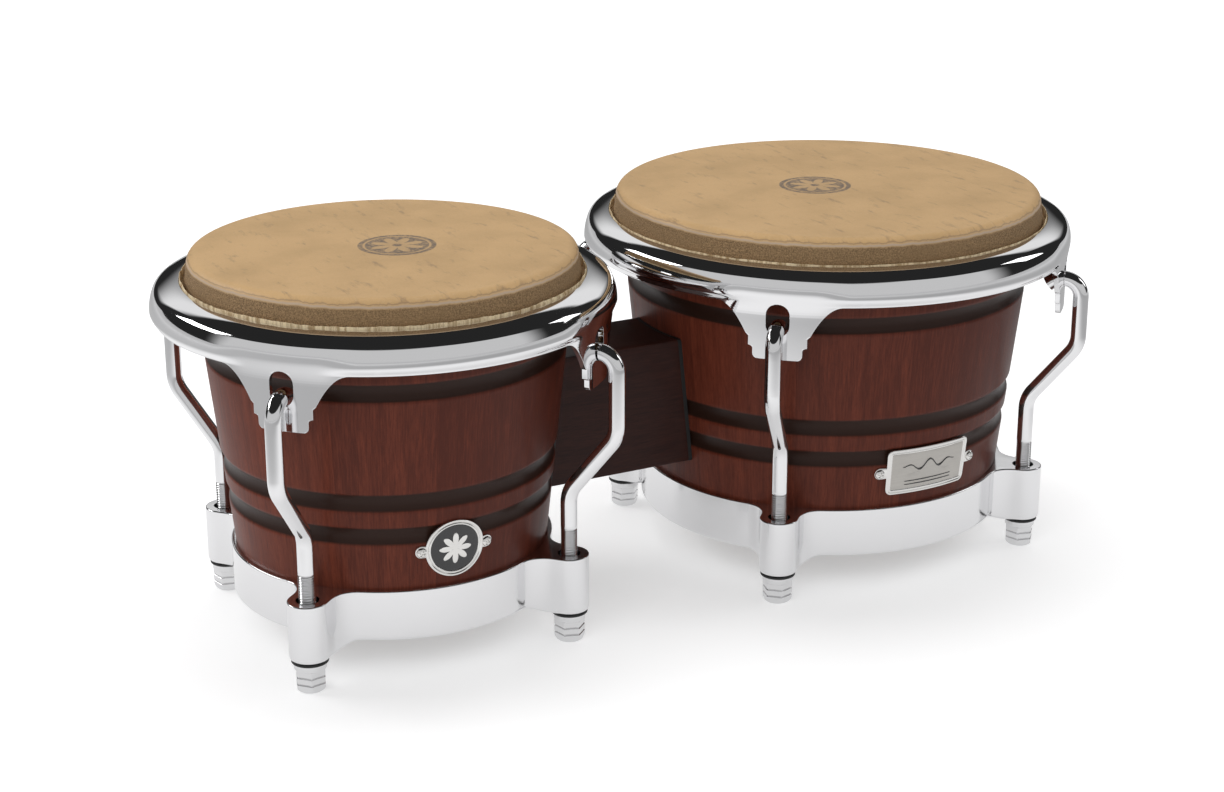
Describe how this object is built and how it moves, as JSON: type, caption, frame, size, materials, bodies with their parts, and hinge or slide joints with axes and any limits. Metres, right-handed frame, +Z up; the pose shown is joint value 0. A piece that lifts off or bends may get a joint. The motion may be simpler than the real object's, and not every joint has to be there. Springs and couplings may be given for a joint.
{
  "type": "bongo drums",
  "caption": "Pair of joined wooden hand drums, a small and a large, with rawhide heads, hooked rims and tuning rods on cast bottom rings.",
  "frame": {"origin": "on the floor under the middle of the object's box", "axes": "+X from the small drum to the large drum, +Y from the player's front with the badges to the back, +Z up"},
  "size_m": [0.4848, 0.2518, 0.1878],
  "materials": {
    "stained_wood": "satin stained and lacquered staves",
    "block_wood": "satin dark stain",
    "polished_casting": "polished and bright plated casting",
    "chrome": "mirror chrome plate",
    "rawhide": "matt natural skin",
    "washer_rubber": "black",
    "pad_rubber": "black",
    "badge_metal": "nickel plate",
    "inlay_dark": "black enamel",
    "inlay_silver": "fine brushed",
    "plain_steel": "zinc plated",
    "brass_insert": "plain"
  },
  "bodies": {
    "shells": {"small_shell": "stained_wood", "small_bottom_ring": "polished_casting", "small_washers": "washer_rubber", "small_badge": "badge_metal", "small_badge_inlay": "inlay_dark", "small_badge_screws": "badge_metal", "small_block_pad": "pad_rubber", "small_saddle_plate": "plain_steel", "small_block_bolts": "plain_steel", "large_shell": "stained_wood", "large_bottom_ring": "polished_casting", "large_washers": "washer_rubber", "large_badge": "badge_metal", "large_badge_inlay": "inlay_silver", "large_badge_screws": "badge_metal", "large_block_pad": "pad_rubber", "large_saddle_plate": "plain_steel", "large_block_bolts": "plain_steel", "centre_block": "block_wood", "block_inserts": "brass_insert"},
    "small_crown": {"small_rim": "chrome", "small_flesh_hoop": "plain_steel", "small_head": "rawhide", "small_tuning_rod_front_left": "chrome", "small_tuning_rod_front_right": "chrome", "small_tuning_rod_back_right": "chrome", "small_tuning_rod_back_left": "chrome"},
    "small_nut_front_left": {"small_tuning_nut_front_left": "chrome"},
    "small_nut_front_right": {"small_tuning_nut_front_right": "chrome"},
    "small_nut_back_right": {"small_tuning_nut_back_right": "chrome"},
    "small_nut_back_left": {"small_tuning_nut_back_left": "chrome"},
    "large_crown": {"large_rim": "chrome", "large_flesh_hoop": "plain_steel", "large_head": "rawhide", "large_tuning_rod_front_left": "chrome", "large_tuning_rod_front_right": "chrome", "large_tuning_rod_back_right": "chrome", "large_tuning_rod_back_left": "chrome"},
    "large_nut_front_left": {"large_tuning_nut_front_left": "chrome"},
    "large_nut_front_right": {"large_tuning_nut_front_right": "chrome"},
    "large_nut_back_right": {"large_tuning_nut_back_right": "chrome"},
    "large_nut_back_left": {"large_tuning_nut_back_left": "chrome"}
  },
  "joints": [
    {"name": "small_rim_travel", "type": "slide", "parent": "shells", "child": "small_crown", "axis": [0, 0, -1], "range_m": [-0.005, 0.0035], "deforming": ["small_head"]},
    {"name": "small_nut_front_left_turn", "type": "hinge", "parent": "shells", "child": "small_nut_front_left", "pos_m": [-0.20131, -0.06152, 0], "axis": [0, 0, 1], "range_deg": [-1441, 1009]},
    {"name": "small_nut_front_right_turn", "type": "hinge", "parent": "shells", "child": "small_nut_front_right", "pos_m": [-0.07098, -0.06881, 0], "axis": [0, 0, 1], "range_deg": [-1441, 1009]},
    {"name": "small_nut_back_right_turn", "type": "hinge", "parent": "shells", "child": "small_nut_back_right", "pos_m": [-0.06369, 0.06152, 0], "axis": [0, 0, 1], "range_deg": [-1441, 1009]},
    {"name": "small_nut_back_left_turn", "type": "hinge", "parent": "shells", "child": "small_nut_back_left", "pos_m": [-0.19402, 0.06881, 0], "axis": [0, 0, 1], "range_deg": [-1441, 1009]},
    {"name": "large_rim_travel", "type": "slide", "parent": "shells", "child": "large_crown", "axis": [0, 0, -1], "range_m": [-0.005, 0.0035], "deforming": ["large_head"]},
    {"name": "large_nut_front_left_turn", "type": "hinge", "parent": "shells", "child": "large_nut_front_left", "pos_m": [0.0414, -0.07804, 0], "axis": [0, 0, 1], "range_deg": [-1441, 1009]},
    {"name": "large_nut_front_right_turn", "type": "hinge", "parent": "shells", "child": "large_nut_front_right", "pos_m": [0.19454, -0.07509, 0], "axis": [0, 0, 1], "range_deg": [-1441, 1009]},
    {"name": "large_nut_back_right_turn", "type": "hinge", "parent": "shells", "child": "large_nut_back_right", "pos_m": [0.19159, 0.07804, 0], "axis": [0, 0, 1], "range_deg": [-1441, 1009]},
    {"name": "large_nut_back_left_turn", "type": "hinge", "parent": "shells", "child": "large_nut_back_left", "pos_m": [0.03846, 0.07509, 0], "axis": [0, 0, 1], "range_deg": [-1441, 1009]}
  ],
  "couplings": [
    {"joint": "small_nut_front_left_turn", "follows": "small_rim_travel", "rad_per_m": 5026.5},
    {"joint": "small_nut_front_right_turn", "follows": "small_rim_travel", "rad_per_m": 5026.5},
    {"joint": "small_nut_back_right_turn", "follows": "small_rim_travel", "rad_per_m": 5026.5},
    {"joint": "small_nut_back_left_turn", "follows": "small_rim_travel", "rad_per_m": 5026.5},
    {"joint": "large_nut_front_left_turn", "follows": "large_rim_travel", "rad_per_m": 5026.5},
    {"joint": "large_nut_front_right_turn", "follows": "large_rim_travel", "rad_per_m": 5026.5},
    {"joint": "large_nut_back_right_turn", "follows": "large_rim_travel", "rad_per_m": 5026.5},
    {"joint": "large_nut_back_left_turn", "follows": "large_rim_travel", "rad_per_m": 5026.5}
  ]
}
